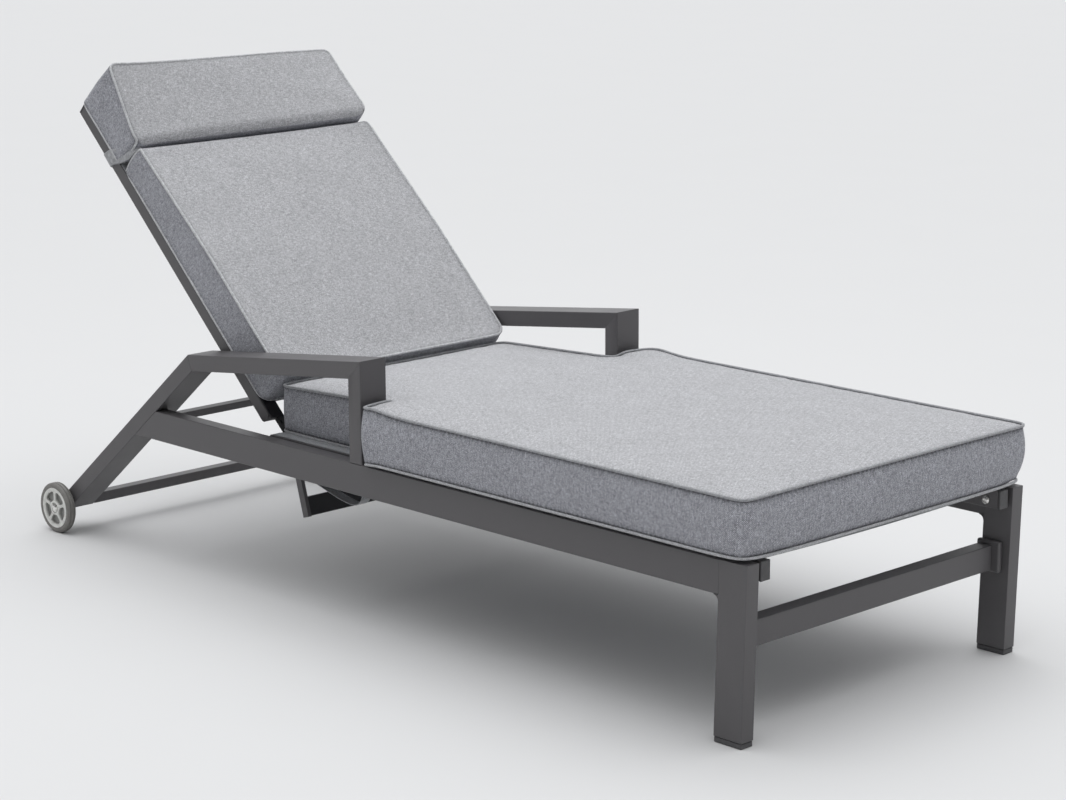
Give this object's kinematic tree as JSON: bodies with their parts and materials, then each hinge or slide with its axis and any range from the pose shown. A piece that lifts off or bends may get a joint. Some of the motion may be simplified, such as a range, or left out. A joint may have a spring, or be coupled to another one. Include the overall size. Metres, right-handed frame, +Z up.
{
  "type": "sun_lounger",
  "caption": "Reclining sun lounger: tubular frame with armrests and rear wheels, padded seat, back and head cushions",
  "frame": {"origin": "on the floor, under the middle of the bounding box", "axes": "+X to the foot end, +Z up, Y across the width"},
  "size_m": [1.938, 0.7686, 0.9619],
  "materials": {
    "grey_aluminium": "anthracite powder coat, fine satin",
    "black_steel": "black coated steel",
    "black_plastic": "moulded, matt",
    "sling_mesh": "woven coated sling",
    "cushion_fabric": "grey melange basket weave, piped seams",
    "strap_fabric": "flat woven strap",
    "grey_tyre": "matt grey, two grooves",
    "rim_plastic": "light grey moulded",
    "steel_bolt": "zinc plated"
  },
  "bodies": {
    "frame": {"front_leg_L": "grey_aluminium", "front_leg_R": "grey_aluminium", "front_foot_L": "black_plastic", "front_foot_R": "black_plastic", "side_rail_L": "grey_aluminium", "side_rail_R": "grey_aluminium", "arm_post_L": "grey_aluminium", "arm_post_R": "grey_aluminium", "armrest_L": "grey_aluminium", "armrest_R": "grey_aluminium", "rear_leg_L": "grey_aluminium", "rear_leg_R": "grey_aluminium", "front_crossbar": "grey_aluminium", "crossbar_socket_L": "grey_aluminium", "crossbar_socket_R": "grey_aluminium", "rear_lower_crossbar": "grey_aluminium", "rear_upper_crossbar": "grey_aluminium", "seat_rail_L": "grey_aluminium", "seat_rail_R": "grey_aluminium", "seat_rail_cap_L": "black_plastic", "seat_rail_cap_R": "black_plastic", "seat_bolt_L": "steel_bolt", "seat_bolt_R": "steel_bolt", "seat_crossbar_front": "grey_aluminium", "seat_crossbar_mid": "grey_aluminium", "seat_sling": "sling_mesh", "pivot_tube": "black_steel", "hinge_housing_L": "black_steel", "hinge_housing_R": "black_steel", "axle_boss_L": "black_steel", "axle_boss_R": "black_steel", "axle_bolt_L": "steel_bolt", "axle_bolt_R": "steel_bolt", "seat_cushion": "cushion_fabric", "seat_tie_strap": "strap_fabric"},
    "backrest": {"back_rail_L": "grey_aluminium", "back_rail_R": "grey_aluminium", "back_rail_cap_L": "black_plastic", "back_rail_cap_R": "black_plastic", "back_top_bar": "grey_aluminium", "back_mid_bar": "grey_aluminium", "back_low_bar": "grey_aluminium", "back_sling": "sling_mesh", "hinge_plate_L": "black_steel", "hinge_plate_R": "black_steel", "hinge_bolt_1_L": "black_steel", "hinge_bolt_1_R": "black_steel", "hinge_bolt_2_L": "black_steel", "hinge_bolt_2_R": "black_steel", "yoke_arm_L": "grey_aluminium", "yoke_arm_R": "grey_aluminium", "yoke_plate": "black_steel", "back_cushion": "cushion_fabric", "head_cushion": "cushion_fabric", "head_strap": "strap_fabric"},
    "wheel_L": {"wheel_tyre_L": "grey_tyre", "wheel_rim_L": "rim_plastic"},
    "wheel_R": {"wheel_tyre_R": "grey_tyre", "wheel_rim_R": "rim_plastic"}
  },
  "joints": [
    {"name": "recline", "type": "hinge", "parent": "frame", "child": "backrest", "pos_m": [-0.2775, 0, 0.279], "axis": [0, -1, 0], "range_deg": [-5, 42]},
    {"name": "wheel_spin_L", "type": "hinge", "parent": "frame", "child": "wheel_L", "pos_m": [-0.9175, -0.3735, 0.052], "axis": [0, 1, 0], "continuous": true},
    {"name": "wheel_spin_R", "type": "hinge", "parent": "frame", "child": "wheel_R", "pos_m": [-0.9175, 0.3735, 0.052], "axis": [0, 1, 0], "continuous": true}
  ]
}
